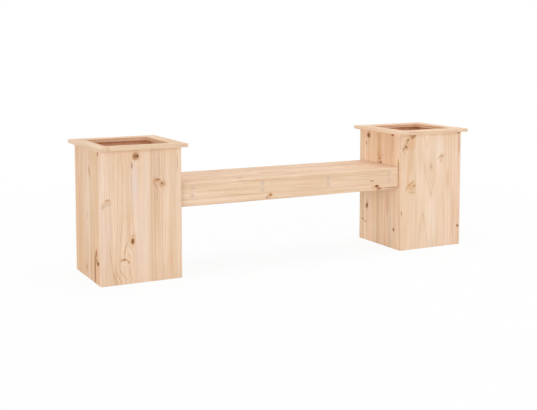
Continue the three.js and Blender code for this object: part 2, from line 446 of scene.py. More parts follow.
def pine(name, knots=(), marks=()):
    """Planed pine. knots are (stave, across, along, half width, half height, turn, kind), in
    millimetres and degrees. marks come from patch and stroke."""
    material = bpy.data.materials.new(name)
    wires = bare_wiring(material)
    grain = wires.attribute("grain")
    stave = wires.attribute("stave", "Fac")
    dome = wires.attribute("dome")
    _, _, seed = dome.parts()
    ripple = wires.noise(grain, RIPPLE_SCALE, 2.0) - 0.5
    half = Vector((0.5, 0.5, 0.5))
    swayed = grain + (wires.noise(grain * SWAY_SCALE, 1.0, 1.0, 1) - half) * SWAY

    def spot(own, across, along, half_across, half_along, turn, bow=0.0):
        middle = Vector((across * MM, along * MM, 0.0))
        halves = Vector((half_across * MM, half_along * MM, 1.0))
        own = stave if own == ANY else own
        turn, bow = math.radians(turn), bow / MM
        return wires.group(spot_shape, swayed, middle, halves, turn, bow, stave, own, ripple)

    spots = [spot(*place) for *place, _ in knots]
    push = wires.total([made["push"] for made in spots]) if spots else 0.0
    pith, contrast = wires.attribute("pith"), wires.attribute("tone", "Alpha")
    late_wood = wires.group(growth_rings, grain, pith, dome, push, contrast)["late_wood"]
    plain = wires.group(pine_colour, grain, late_wood, wires.attribute("tone", "Color"), seed)

    def marked(colour, stains):
        for *place, paint, strength in marks:
            if (paint in STAINS) == stains:
                share = spot(*place)["distance"].fade(*MARK_FADE)
                colour = wires.mix(share * strength, colour, paint)
        return colour

    colour = marked(plain["colour"], False)
    knotty = []
    for made, (*_, kind) in zip(spots, knots):
        if KNOT_KINDS[kind]:
            face = wires.group(knot_face, colour, made["distance"], made["crack"], *KNOT_KINDS[kind])
            colour = face["colour"]
            knotty.append(face["inside"])
    colour = marked(colour, True)

    # Late wood and knots stand a little proud of the planed face, and late wood is smoother
    late_height, fibre_height = 0.5, 0.6
    roughness, late_roughness, fibre_roughness = 0.62, -0.08, 0.08
    height = wires.total([late_wood * late_height + plain["fibre"] * fibre_height, *knotty])
    roughness = late_wood * late_roughness + roughness + plain["fibre"] * fibre_roughness
    coat(wires, height, PINE_RELIEF,
         {"Base Color": colour, "Roughness": roughness, "Specular IOR Level": PINE_SHEEN})
    return material


def zinc_steel():
    """Zinc plating: pale and half dull, with fine spots."""
    material = bpy.data.materials.new("zinc-plated steel")
    wires = bare_wiring(material)
    spots = wires.noise(wires.flow("ShaderNodeTexCoord", output="Object"), ZINC_SPOT_SCALE, 3.0)
    colour = wires.mix(spots.step(0.3, 0.7), ZINC, ZINC_SHADE)
    roughness = spots.step(0.2, 0.8, *ZINC_ROUGHNESS)
    coat(wires, spots, ZINC_RELIEF,
         {"Base Color": colour, "Roughness": roughness, "Metallic": ZINC_METAL_SHARE})
    return material


class Stave:
    """A strip of a glued board. Sizes are in millimetres: its far edge across the board, where the
    tree's middle ran across and behind the face, the width of its rings, and its dome. Contrast is
    how dark its late wood is."""

    def __init__(self, edge, tone, pith, ring, seed, contrast=1.0, dome=(0, 0.0)):
        self.edge = edge * MM
        self.tone = (*tone, contrast)
        self.pith = (pith[0] * MM, pith[1] * MM, ring * MM)
        self.dome = (dome[0] * MM, dome[1], seed)


def mesh_of(shape, name):
    """Turns a bmesh into a mesh for good."""
    mesh = bpy.data.meshes.new(name)
    shape.to_mesh(mesh)
    shape.free()
    return mesh


def new_object(name, data):
    made = bpy.data.objects.new(name, data)
    bpy.context.scene.collection.objects.link(made)
    return made


def finish_piece(shape, name, nodes, material):
    """Turns a bmesh into a piece that stands for CAD nodes, or for none, and rides with the part."""
    bmesh.ops.recalc_face_normals(shape, faces=shape.faces[:])
    piece = new_object(name, mesh_of(shape, name))
    piece.data.materials.append(material)
    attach(piece, BODY)
    if nodes:
        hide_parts(*nodes)
    return piece


def ease_arrises(shape, ease, butted):
    """Rounds a board's arrises, except those of the sides that butt against other boards."""
    tight = {face for face in shape.faces for side in butted if face.normal.dot(AXES[side]) > FACING}
    rounded = [edge for edge in shape.edges if not tight.intersection(edge.link_faces)]
    bmesh.ops.bevel(shape, geom=rounded, offset=ease, segments=EASE_STEPS, profile=0.5,
                    affect="EDGES", material=-1)
    for face in shape.faces:
        face.smooth = min(edge.calc_length() for edge in face.edges) < ease


def plain_board(node):
    """A box of a node's size."""
    low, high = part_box(node)
    shape = bmesh.new()
    place = Matrix.Translation((low + high) / 2) @ Matrix.Diagonal((*(high - low), 1.0))
    bmesh.ops.create_cube(shape, size=1.0, matrix=place)
    return shape


def extruded(outline, height, rise):
    """A closed solid from a flat outline at one height, drawn up or down by rise, and the corners
    that were drawn."""
    shape = bmesh.new()
    face = shape.faces.new([shape.verts.new((x, y, height)) for x, y in outline])
    drawn = bmesh.ops.extrude_face_region(shape, geom=[face])["geom"]
    corners = [corner for corner in drawn if isinstance(corner, bmesh.types.BMVert)]
    bmesh.ops.translate(shape, vec=(0, 0, rise), verts=corners)
    bmesh.ops.recalc_face_normals(shape, faces=shape.faces[:])
    return shape, corners


def notched_slat(node, side):
    """A floor slat with its two corners on one side cut out for the posts."""
    low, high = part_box(node)
    edge, inner = (low.x, high.x) if side == "-X" else (high.x, low.x)
    cut = edge + math.copysign(POST_NOTCH, inner - edge)
    outline = [(inner, low.y), (cut, low.y), (cut, low.y + POST_NOTCH), (edge, low.y + POST_NOTCH),
               (edge, high.y - POST_NOTCH), (cut, high.y - POST_NOTCH), (cut, high.y), (inner, high.y)]
    return extruded(outline, low.z, high.z - low.z)[0]


def mark_grain(piece, start, axes, staves, painted_light_tints):
    """Writes where each point lies in the board's own frame, and each face's stave and tone. A face's tone
    takes in the given tint of painted light or shade for the way that it looks, and a sawn end's tint.
    """
    mesh = piece.data
    for name, (kind, place) in GRAIN_LAYERS.items():
        mesh.attributes.new(name, kind, place)
    grain, numbers, piths, domes, tones = (mesh.attributes[name].data for name in GRAIN_LAYERS)
    for vertex in mesh.vertices:
        grain[vertex.index].vector = [(vertex.co - start).dot(axis) for axis in axes]
    for face in mesh.polygons:
        place = (face.center - start).dot(axes[0])
        number = next((i for i, stave in enumerate(staves) if place < stave.edge), len(staves) - 1)
        numbers[face.index].value = number
        piths[face.index].vector = staves[number].pith
        domes[face.index].vector = staves[number].dome
        tints = [tint for side, tint in painted_light_tints.items() if face.normal.dot(AXES[side]) > FACING]
        if abs(face.normal.dot(axes[1])) > FACING:
            tints.append(END_GRAIN)
        look = Vector(staves[number].tone)
        for tint in tints:
            look = look * Vector(tint)
        tones[face.index].color = look


def board(node, across, along, into, staves, material, ease, butted=(), start=None, shape=None, holes=None,
          painted_light_tints=None):
    """A board in place of a CAD node. across, along and into are the ways across its face, along
    its grain and into the wood; start is where its marking out begins, at first its corner. The
    tints given for the faces that look a way are painted light or shade."""
    low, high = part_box(node)
    shape = shape or plain_board(node)
    ease_arrises(shape, ease, butted)
    axes = [AXES[across], AXES[along], AXES[into]]
    if start is None:
        start = Vector([low[i] if sum(axis[i] for axis in axes) > 0 else high[i] for i in range(3)])
    for stave in staves[:-1]:
        bmesh.ops.bisect_plane(shape, geom=shape.verts[:] + shape.edges[:] + shape.faces[:],
                               plane_co=start + axes[0] * stave.edge, plane_no=axes[0])
    piece = finish_piece(shape, f"pine_{node}", (node,), material)
    if holes:
        cut_with(piece, holes)
    mark_grain(piece, start, axes, staves, painted_light_tints or {})


def cut_with(piece, cutter):
    """Cuts a shape out of a piece for good, and removes the cutter."""
    modifier = piece.modifiers.new("cut", "BOOLEAN")
    modifier.operation = "DIFFERENCE"
    modifier.solver = "EXACT"
    modifier.object = cutter
    graph = bpy.context.evaluated_depsgraph_get()
    graph.update()
    cut = bpy.data.meshes.new_from_object(piece.evaluated_get(graph))
    if not cut.polygons:
        raise RuntimeError(f"nothing was left of {piece.name} after a cut")
    piece.modifiers.remove(modifier)
    piece.data = cut
    bpy.data.objects.remove(cutter)


def tone(light, red=0.0, yellow=0.0):
    """A stave's tone: 1 is plain, and red and yellow warm it."""
    green_share = 0.4
    return (light * (1 + red), light * (1 + green_share * yellow), light * (1 - yellow))


def wild_stave(chance, edge):
    """A stave of a chance cut. Some are cut near the tree's middle and show a dome."""
    domed_share = 0.35
    light = chance.uniform(0.95, 1.035)
    look = tone(light, chance.uniform(-0.012, 0.02), chance.uniform(-0.02, 0.04))
    if chance.random() < domed_share:
        pith = (edge - chance.uniform(10, 45), chance.uniform(28, 60))
        dome = (chance.uniform(-500, 100), chance.uniform(0.05, 0.3))
    else:
        pith = (edge + chance.choice((-1, 1)) * chance.uniform(80, 200), chance.uniform(10, 60))
        dome = (0, 0.0)
    return Stave(edge, look, pith, chance.uniform(2.4, 4.2), chance.uniform(0, 50), dome=dome)


def wild_staves(chance, width, thin=32, wide=72):
    """Staves for a board that the photograph doesn't show, of chance widths and cuts."""
    staves, edge = [], 0.0
    while edge < width - thin:
        edge += chance.uniform(thin, wide)
        if width - edge < thin:
            edge = width
        staves.append(wild_stave(chance, edge))
    return staves


def wild_knots(chance, staves, count, low, high):
    """Knots at chance places, each well inside its stave and between low and high along it."""
    widest_share = 0.3
    kinds = ("red", "dark", "dark", "tan", "tan", "faint")
    knots = []
    for _ in range(count):
        number = chance.randrange(len(staves))
        left = staves[number - 1].edge / MM if number else 0.0
        right = staves[number].edge / MM
        half = min(chance.uniform(3, 12), (right - left) * widest_share)
        across = chance.uniform(left + half, right - half)
        kind = chance.choice(kinds)
        knots.append((number, across, chance.uniform(low, high), half, half * chance.uniform(1.0, 1.6),
                      chance.uniform(-20, 20), kind))
    return knots


# The four faces that the photograph shows best. Places are from the planter's left edge as it is seen
# from that side, and from the top of the wall, below which they are negative.
LEFT_FRONT_STAVES = [
    Stave(52, tone(0.985, 0.0, -0.01), (-60, 40), 4.4, 3.1, 0.5),
    Stave(181, tone(0.99), (-60, 46), 4.2, 12.7, 0.75),
    Stave(213, tone(0.985, 0.0, -0.01), (60, 50), 4.6, 21.9, 0.55),
    Stave(327, tone(0.97, 0.004, 0.012), (420, 50), 3.4, 30.2, 0.85),
    Stave(350, tone(0.965, 0.012, 0.01), (500, 60), 3.0, 41.6, 0.75),
]
LEFT_FRONT_KNOTS = [
    (1, 152, -28, 13.5, 14, 0, "red"),
    (3, 243, -131, 10, 5.5, -12, "tan"),
    (3, 265, -147, 12.5, 10.5, 10, "mild"),
    (1, 136, -375, 6.5, 12, 4, "dark"),
    (1, 119, -467, 22, 46, 0, "bend"),
]
LEFT_FRONT_MARKS = [
    # The lilac and pale strips, and the warm ones
    patch(1, 147, -145, 19, 125, LILAC, 0.72),
    patch(3, 238, -90, 24, 150, LILAC, 0.25),
    patch(0, 25, -75, 34, 120, PALE, 0.1),
    patch(0, 25, -340, 34, 190, SMOKE, 0.17),
    patch(1, 168, -390, 24, 190, LILAC, 0.35),
    patch(2, 193, -300, 16, 380, PALE, 0.3),
    patch(1, 104, -70, 26, 100, WARM, 0.14),
    patch(1, 126, -285, 9, 90, WARM, 0.4, 3),
    patch(ANY, 234, -250, 36, 330, TAN, 0.22),
    patch(3, 300, -470, 18, 70, ROSE, 0.35),
    # The round knot and the mark under it
    stroke(1, (133, -9), (174, -7), 3, 2.2, TAN, 0.7),
    patch(1, 159.5, -27.5, 5.2, 7, BARK, 0.92),
    patch(1, 149, -28, 7, 9, BROWN, 0.5, 10),
    stroke(1, (135, -52), (135.5, -79), 1, 3.4, BROWN, 0.85),
    stroke(1, (133, -76), (131, -240), 0, 2.0, TAN, 0.35),
    # The double knot
    stroke(3, (237, -113), (239, -167), -6, 2.8, TAN, 1.0),
    stroke(3, (231, -118), (231, -155), -3, 2.4, TAN, 0.8),
    stroke(3, (247, -134), (242, -172), -4, 2.6, TAN, 0.9),
    stroke(3, (238, -130), (258, -133), 2, 3.2, BROWN, 0.7),
    stroke(3, (253, 4), (252, -120), 0, 2.2, TAN, 0.75),
    stroke(3, (247, -160), (243, -218), -2, 2.4, TAN, 0.65),
    stroke(3, (234, -176), (238, -215), -1, 2.2, TAN, 0.5),
    patch(3, 264.5, -147, 4.8, 4.8, BROWN, 0.9),
    patch(3, 268, -150, 20, 17, WARM, 0.2),
    # The faint mark at the left edge
    stroke(0, (20, -203), (43, -200), 2, 4.4, TAN, 0.95),
    patch(0, 34, -212, 16, 15, DULL, 0.4),
    patch(0, 14, -223, 10, 17, TAN, 0.5, 15),
    # The dark knot, the overgrown one beside it and the line between them
    stroke(1, (127, -354), (150, -357), 5, 2.8, TAN, 0.75),
    stroke(1, (126, -393), (149, -396), -4, 2.4, TAN, 0.55),
    patch(1, 137, -370, 17, 30, WARM, 0.4),
    patch(1, 136, -378, 4, 8, BARK, 0.2),
    stroke(1, (117, -370), (101, -440), -5, 2.8, TAN, 1.0),
    stroke(1, (82, -456), (117, -457), 9, 6, TAN, 0.85),
    patch(1, 98, -447, 12, 6, BROWN, 0.42),
    patch(1, 118, -459, 6.5, 9, TAN, 0.95, -30),
    patch(1, 84, -449, 10, 10, WARM, 0.45),
    patch(1, 101, -466, 13, 11, PALE, 0.3),
    # Grain that fans out at the foot
    stroke(ANY, (38, -380), (50, -480), -2, 2.4, TAN, 0.5),
    stroke(ANY, (49, -470), (77, -556), -4, 4.2, TAN, 0.66),
    stroke(ANY, (50, -500), (64, -556), -1, 3.6, TAN, 0.5),
    stroke(1, (60, -465), (92, -545), -6, 3.4, TAN, 0.6),
    stroke(1, (78, -470), (118, -535), -8, 3.4, TAN, 0.5),
    stroke(1, (121, -478), (130, -545), 2, 2.6, TAN, 0.5),
    stroke(4, (333, -25), (333, -100), 0, 2.8, BROWN, 0.36),
]
RIGHT_FRONT_STAVES = [
    Stave(87, tone(0.985, 0.004, 0.01), (-70, 52), 4.0, 5.3, 0.55),
    Stave(208, tone(1.0), (152, 60), 6.0, 15.9, 0.3, dome=(-341, 0.14)),
    Stave(296, tone(0.992, 0.005), (330, 44), 3.6, 25.2, 0.5),
    Stave(327, tone(0.985, 0.012), (470, 60), 3.2, 36.8, 0.65),
    Stave(350, tone(0.975, 0.01), (480, 70), 2.8, 44.1, 0.65),
]
RIGHT_FRONT_KNOTS = [
    (0, 67, -14, 11, 8, 0, "tan"),
    (0, 30, -60, 9, 8, 10, "tan"),
    (1, 175, -160, 8, 14, -8, "faint"),
    (2, 236, -114, 11, 8, -30, "faint"),
    (4, 337.5, -458, 5.5, 6, 0, "dark"),
]
RIGHT_FRONT_MARKS = [
    # Warm, pale and rosy wood
    patch(0, 56, -46, 38, 42, WARM, 0.55),
    patch(0, 58, -125, 24, 80, WARM, 0.42),
    patch(0, 44, -190, 12, 70, WARM, 0.4),
    patch(ANY, 216, -70, 42, 95, PALE, 0.36),
    patch(1, 178, -450, 38, 150, PALE, 0.35),
    patch(1, 130, -510, 28, 70, PALE, 0.2),
    patch(0, 24, -320, 36, 400, WARM, 0.2),
    patch(2, 273, -222, 15, 55, ROSE, 0.55),
    patch(2, 234, -134, 14, 16, ROSE, 0.65),
    patch(3, 312, -300, 22, 300, ROSE, 0.2),
    # The knots at the top left corner
    patch(0, 66, -15, 6.5, 5.5, BROWN, 0.95),
    patch(0, 77, -8, 10, 7, BROWN, 0.4),
    patch(0, 50, -8, 10, 5, BROWN, 0.3),
    stroke(0, (27, -44), (50, -20), 3, 7, TAN, 0.9),
    patch(0, 36, -42, 4.5, 5.5, BROWN, 0.42, 20),
    patch(0, 22, -50, 5, 4.5, BROWN, 0.4),
    patch(0, 41, -28, 6, 6, BROWN, 0.75, -30),
    patch(0, 30, -60, 7, 6, BROWN, 0.72),
    patch(0, 35, -73, 6, 5, TAN, 0.6),
    stroke(0, (24, -54), (9, -78), 4, 6.5, TAN, 0.95),
    patch(0, 12, -65, 5, 7, BROWN, 0.5, 20),
    patch(0, 58, -22, 4, 4, BROWN, 0.4),
    patch(0, 79, -12, 5, 6, BROWN, 0.35),
    stroke(0, (13, -74), (20, -98), 3, 5.0, TAN, 0.5),
    # The resinous patch
    patch(0, 62, -250, 36, 34, WARM, 0.62, -25),
    stroke(0, (28, -263), (80, -222), 4, 6, OLIVE, 0.8),
    patch(0, 80, -245, 9, 6, BROWN, 0.5, -20),
    stroke(0, (50, -262), (86, -243), 1, 3.2, TAN, 0.6),
    stroke(0, (36, -272), (88, -277), -4, 5.2, OLIVE, 0.48),
    # Grain in pointed arches
    stroke(1, (176, -302), (212, -180), 3, 5, TAN, 0.24),
    stroke(1, (176, -302), (148, -206), -2, 5, TAN, 0.22),
    stroke(1, (146, -215), (120, -108), -3, 5, TAN, 0.22),
    patch(1, 175, -293, 6, 14, TAN, 0.38),
    stroke(1, (130, -378), (110, -480), -2, 4.5, TAN, 0.28),
    stroke(1, (130, -378), (150, -480), 2, 4.5, TAN, 0.28),
    stroke(1, (149, -460), (162, -556), 1, 4, TAN, 0.24),
    stroke(1, (111, -470), (106, -556), 0, 4, TAN, 0.24),
    patch(1, 130, -391, 6, 15, TAN, 0.42),
    # Small marks
    patch(1, 172, -150, 6, 12, SMOKE, 0.3, -15),
    stroke(2, (246, -104), (212, -129), -3, 5, TAN, 0.5),
    patch(2, 240, -112, 8, 9, BROWN, 0.2, -30),
    patch(4, 333, -4, 13, 6, BROWN, 0.9),
    patch(4, 337.5, -458, 4.5, 5.5, BROWN, 0.75),
    stroke(4, (335, -8), (339, -110), 2, 5, BROWN, 0.42),
    stroke(0, (6.5, -357), (7, -387), 1, 3.2, BROWN, 0.7),
]
# The tones of these staves are darker than the wood's own: painted shade on this side of the planter
LEFT_OUTER_STAVES = [
    Stave(26, tone(0.88, 0.03, 0.04), (-100, 50), 3.4, 2.2),
    Stave(82, tone(0.88, 0.065, 0.06), (-140, 60), 3.8, 9.7),
    Stave(107, tone(0.89, 0.055, 0.055), (-140, 50), 3.2, 14.3),
    Stave(232, tone(0.912, 0.03, 0.012), (-190, 48), 4.2, 19.6, 0.7),
    Stave(283, tone(0.87, 0.065, 0.07), (420, 60), 3.6, 27.1),
    Stave(335, tone(0.90, 0.065, 0.05), (460, 44), 3.6, 33.3),
]
LEFT_OUTER_KNOTS = [
    (5, 334, -14, 10, 10, 0, "dark"),
    (5, 316, -461, 15, 8, -6, "dark"),
]
LEFT_OUTER_MARKS = [
    patch(1, 62, -190, 26, 100, ROSE, 0.5),
    patch(1, 62, -420, 27, 210, WARM, 0.48),
    patch(3, 192, -260, 48, 180, PALE, 0.2),
    patch(ANY, 250, -35, 66, 36, OLIVE, 0.1),
    patch(ANY, 306, -490, 50, 100, WARM, 0.4),
    patch(ANY, 104, -390, 27, 210, WARM, 0.42),
    patch(4, 262, -400, 24, 160, WARM, 0.2),
    patch(0, 18, -470, 34, 150, WARM, 0.22),
    patch(5, 298, -455, 16, 14, WARM, 0.7),
    stroke(3, (200, 0), (201, -60), 0, 8, TAN, 0.35),
    stroke(3, (198, -72), (219, -124), 2, 15, TAN, 0.9),
    stroke(3, (229, -175), (229, -450), 1, 7, TAN, 0.45),
    stroke(4, (241, -175), (238, -330), 2, 8, TAN, 0.4),
    patch(3, 178, -285, 10, 28, DULL, 0.45),
    patch(3, 158, -506, 20, 18, DULL, 0.95),
    patch(3, 158, -500, 30, 40, WARM, 0.25),
    stroke(3, (222, -405), (221, -556), 0, 9, TAN, 0.9),
    stroke(5, (303, -404), (281, -444), 3, 16, TAN, 1.0),
    stroke(5, (303, -404), (281, -444), 3, 10, BROWN, 0.5),
    stroke(4, (278, -428), (275, -562), 1, 20, TAN, 1.0),
    stroke(4, (278, -428), (275, -562), 1, 12, BROWN, 0.74),
    patch(ANY, 296, -455, 30, 16, TAN, 1.0, 20),
    patch(ANY, 290, -449, 20, 10, BROWN, 0.4, 20),
    patch(5, 316, -461, 10, 6, BARK, 0.6),
    stroke(5, (344, -84), (347, -160), 1, 6, BROWN, 0.55),
]
# The tones of these staves are lighter than the wood's own: painted light on this face beside the seat
RIGHT_INNER_STAVES = [
    Stave(40, tone(1.1, -0.005, 0.005), (-110, 50), 3.4, 4.6, 1.08),
    Stave(96, tone(1.215, -0.047, -0.023), (-150, 50), 3.8, 11.8, 1.08),
    Stave(148, tone(1.21, -0.038), (-140, 60), 3.2, 17.5, 1.08),
    Stave(192, tone(0.984, 0.035, 0.051), (-90, 40), 4.2, 24.4, 1.08),
    Stave(241, tone(1.115, -0.007), (420, 50), 4.6, 29.9, 1.08),
    Stave(290, tone(1.1, -0.015, 0.005), (430, 60), 3.8, 38.7, 1.08),
    Stave(335, tone(1.12, -0.015, 0.005), (450, 60), 3.4, 46.2, 1.08),
]
RIGHT_INNER_KNOTS = [
    (1, 76.5, -26, 12.5, 12, 0, "dark"),
    (3, 174, -131, 6.5, 4, -20, "dark"),
    (3, 189, -147, 10.5, 5.5, 0, "dark"),
    (1, 67, -376, 8, 12, 0, "dark"),
    (6, 296, -457, 6, 8, 0, "dark"),
]
RIGHT_INNER_MARKS = [
    patch(1, 59, -65, 9, 12, DULL, 0.9),
    patch(1, 59, -66, 6, 9, BROWN, 0.2),
    # Painted shade: a broad darkening over the upper part of the face, above the seat
    patch(ANY, 180, -40, 260, 150, TAN, 0.3),
    stroke(5, (284, 2), (281, -98), 0, 6.5, TAN, 0.7),
    patch(5, 282, -7, 15, 9, BROWN, 0.95),
    patch(ANY, 244, -335, 22, 75, TAN, 0.42),
    patch(5, 282, -450, 24, 170, PALE, 0.5),
    patch(2, 140, -500, 24, 70, PALE, 0.3),
    patch(1, 68, -440, 20, 90, DULL, 0.14),
    # Grain that runs out from the double knot
    patch(ANY, 172, -100, 24, 55, WARM, 0.3),
    stroke(ANY, (172, -129), (153, -103), 0, 5, TAN, 0.7),
    stroke(3, (174, -128), (171, -92), 0, 5, TAN, 0.7),
    stroke(ANY, (178, -128), (198, -106), 0, 5, TAN, 0.7),
    stroke(ANY, (170, -140), (168, -156), 0, 7, TAN, 0.8),
    patch(3, 189, -147, 9, 5, BROWN, 0.55),
    # The long knot and the resin beside it
    stroke(1, (71, -342), (68, -376), 1, 7, TAN, 0.6),
    patch(1, 54, -386, 11, 9, TAN, 0.45),
    patch(0, 32, -448, 16, 7, OLIVE, 0.95, -8),
    patch(0, 31, -449, 9, 4.5, BROWN, 0.35),
    stroke(0, (34, -394), (32, -440), 1, 6, OLIVE, 0.6),
    patch(1, 52, -457, 10, 7.5, OLIVE, 0.85, 15),
    stroke(6, (332, -116), (333, -164), 1, 11, OLIVE, 0.95),
    patch(6, 334, -143, 8, 11, BROWN, 0.36),
    stroke(3, (166, -300), (164, -556), 0, 5, TAN, 0.3),
    stroke(3, (182, -300), (180, -556), 0, 5, PALE, 0.4),
    stroke(5, (270, -330), (270, -552), 0, 5, TAN, 0.3),
]

# The seat. Places are down from the top on the aprons, or back from the front edge on the panel, and
# then along from the seat's middle.
SCREW_RUBS = [  # wood rubbed grey round the screws
    patch(0, across, along, 12.5, 13.5, SMOKE, 0.5)
    for along in (-495, -165, 165, 495) for across in (22.5, 55.5)
]
APRON_STAVES = [Stave(APRON_WIDTH, tone(0.99, 0.0, 0.012), (-120, 40), 3.4, 7.7, 0.72, dome=(-300, 0.006))]
APRON_KNOTS = [
    (0, 79, -127, 8, 9, 0, "tan"),
    (0, 81, 428, 6.5, 10, 0, "dark"),
    (0, 92, 440, 5, 11, 0, "red"),
]
APRON_MARKS = [
    # The small knot near the middle
    patch(0, 79, -127, 4.5, 5.5, BROWN, 0.8),
    patch(0, 89, -144, 7, 8, BROWN, 0.6, 20),
    stroke(0, (72, -139), (98, -133), 4, 3.2, TAN, 0.8),
    # The knots at the right
    patch(0, 84, 410, 10, 20, ROSE, 0.8),
    patch(0, 62, 420, 60, 210, TAN, 0.2),
    patch(0, 80, 427, 5, 8, BARK, 0.65),
    patch(0, 91, 440, 5, 10, BROWN, 0.5),
    stroke(0, (92, 448), (94, 560), 0, 3.2, BROWN, 0.62),
    patch(0, 54, 401, 3.4, 14, BROWN, 0.85, 3),
    # Lines of the grain
    stroke(0, (8, -278), (9, -244), 0, 2.2, BROWN, 0.4),
    stroke(0, (10, -321), (14, -120), 1, 1.6, TAN, 0.6),
    stroke(0, (13, -148), (26, 220), 1, 1.6, TAN, 0.6),
    stroke(0, (24, -90), (36, 260), 2, 1.6, TAN, 0.55),
    stroke(0, (40, -500), (46, -250), 1, 1.6, TAN, 0.5),
    stroke(0, (60, -350), (70, -180), -2, 1.6, TAN, 0.55),
    stroke(0, (52, -80), (66, 120), 2, 1.6, TAN, 0.5),
    stroke(0, (20, 250), (30, 540), 1, 1.6, TAN, 0.65),
    stroke(0, (30, 300), (36, 545), 1, 1.6, TAN, 0.65),
    stroke(0, (44, 250), (50, 420), 1, 1.6, TAN, 0.5),
    # Painted shade along the bottom edge, where its rounded arris turns away from the light
    stroke(0, (98, -556), (98, 30), 0, 2.6, BROWN, 0.3),
    # Faint smears between the screws
    patch(0, 39, 165, 22, 8, SMOKE, 0.36),
    patch(0, 39, -165, 22, 8, SMOKE, 0.1),
    patch(0, 38, 495, 22, 8, SMOKE, 0.22),
]
PANEL_STAVES = [
    Stave(85, tone(0.945), (-90, 50), 4.2, 6.6, 1.2),
    Stave(165, tone(0.97), (120, 46), 4.0, 16.1, 1.2, dome=(-200, 0.05)),
    Stave(290, tone(0.94, 0.006), (420, 60), 4.4, 26.3, 1.2),
]
PANEL_KNOTS = [(1, 123, -98, 9, 18, 0, "faint"), (2, 258, -268, 14, 24, 0, "faint")]
PANEL_MARKS = [
    patch(0, 19, -262, 12, 18, BROWN, 0.6, -20),
    patch(0, 26, -14, 16, 46, DULL, 0.45),
    patch(2, 191, -134, 18, 26, DULL, 0.35),
    patch(1, 116, 9, 12, 30, DULL, 0.4),
    patch(2, 270, 198, 18, 30, DULL, 0.4),
    patch(2, 191, 373, 22, 34, DULL, 0.35),
    # Painted shade towards the right end of the seat, beside the right planter
    patch(ANY, 190, 400, 90, 110, TAN, 0.16),
]

WALL_SIDES = {  # the way across each wall's face as it is seen, and the way into it
    "left": {"front": ("+X", "+Y"), "back": ("-X", "-Y"), "outer": ("-Y", "+X"), "inner": ("+Y", "-X")},
    "right": {"front": ("+X", "+Y"), "back": ("-X", "-Y"), "outer": ("+Y", "-X"), "inner": ("-Y", "+X")},
}
SEEN_WALLS = {
    ("left", "front"): (LEFT_FRONT_STAVES, LEFT_FRONT_KNOTS, LEFT_FRONT_MARKS),
    ("left", "outer"): (LEFT_OUTER_STAVES, LEFT_OUTER_KNOTS, LEFT_OUTER_MARKS),
    ("right", "front"): (RIGHT_FRONT_STAVES, RIGHT_FRONT_KNOTS, RIGHT_FRONT_MARKS),
    ("right", "inner"): (RIGHT_INNER_STAVES, RIGHT_INNER_KNOTS, RIGHT_INNER_MARKS),
}


def walls(side):
    """The four walls of a planter. The outer and inner ones fit between the front and back ones."""
    chance = random.Random(f"{side} walls")
    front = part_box(f"{side}_planter_front_wall")[0].y
    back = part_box(f"{side}_planter_back_wall")[1].y
    for place, (across, into) in WALL_SIDES[side].items():
        node = f"{side}_planter_{place}_wall"
        low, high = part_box(node)
        staves = wild_staves(chance, WALL_WIDTH)
        knots = wild_knots(chance, staves, *WALL_KNOTS)
        staves, knots, marks = SEEN_WALLS.get((side, place), (staves, knots, ()))
        # The marking out starts on the wall's face, at its top and at the left edge of the planter
        way = AXES[across] + AXES[into]
        start = Vector((low.x if way.x > 0 else high.x, front if way.y > 0 else back, high.z))
        # The faces that look into the planter get painted reddish bounce light, or painted shade on the side
        # walls
        butted, inside = ["+Z"], INSIDE_BOUNCE_LIGHT_PAINT
        if place in ("outer", "inner"):
            butted, inside = ["+Z", "+Y", "-Y"], INSIDE_END_PAINTED_SHADE
        board(node, across, "+Z", into, staves, pine(node, knots, marks), WALL_EASE, butted, start,
              painted_light_tints={into: inside})


def posts(side, material):
    chance = random.Random(f"{side} posts")
    for post in POSTS:
        # Every side of a post gets painted shade
        board(f"{side}_{post}_post", "+X", "+Z", "+Y", [wild_stave(chance, POST_WIDTH)], material,
              HIDDEN_EASE, painted_light_tints={way: POST_PAINTED_SHADE for way in ("+X", "-X", "+Y", "-Y")})


def rim_stave(chance, light):
    pith = (chance.choice((-120, 170)) + chance.uniform(-20, 20), chance.uniform(20, 50))
    look = tone(light * chance.uniform(1.0, 1.03), 0.025, 0.02)
    return Stave(RIM_WIDTH, look, pith, chance.uniform(2.6, 3.8), chance.uniform(0, 50), 0.75)


def rim(side, material):
    """The flat boards on top. The front and back ones fit between the other two."""
    chance = random.Random(f"{side} rim")
    for place in ("outer", "inner", "front", "back"):
        across, along, butted = "+Y", "+X", ("+X", "-X", "-Z")
        if place in ("outer", "inner"):
            across, along, butted = "+X", "+Y", ("-Z",)
        _, to_opening = WALL_SIDES[side][place]
        # The edge that looks into the opening gets painted light
        board(f"{side}_rim_{place}_board", across, along, "-Z", [rim_stave(chance, RIM_LIGHT[side])],
              material, RIM_EASE, butted, painted_light_tints={to_opening: RIM_EDGE_PAINTED_LIGHT})


def planter_floor(side, material):
    """Two bearers between the posts, and three slats across them."""
    chance = random.Random(f"{side} floor")
    for place in ("front", "back"):
        node = f"{side}_floor_{place}_bearer"
        board(node, "+Z", "+X", "+Y", [wild_stave(chance, BEARER_WIDTH)], material, HIDDEN_EASE)
    for number, notched in ((1, "-X"), (2, None), (3, "+X")):
        node = f"{side}_floor_slat_{number}"
        shape = notched_slat(node, notched) if notched else None
        board(node, "+X", "+Y", "-Z", [wild_stave(chance, SLAT_WIDTH)], material, HIDDEN_EASE, shape=shape)


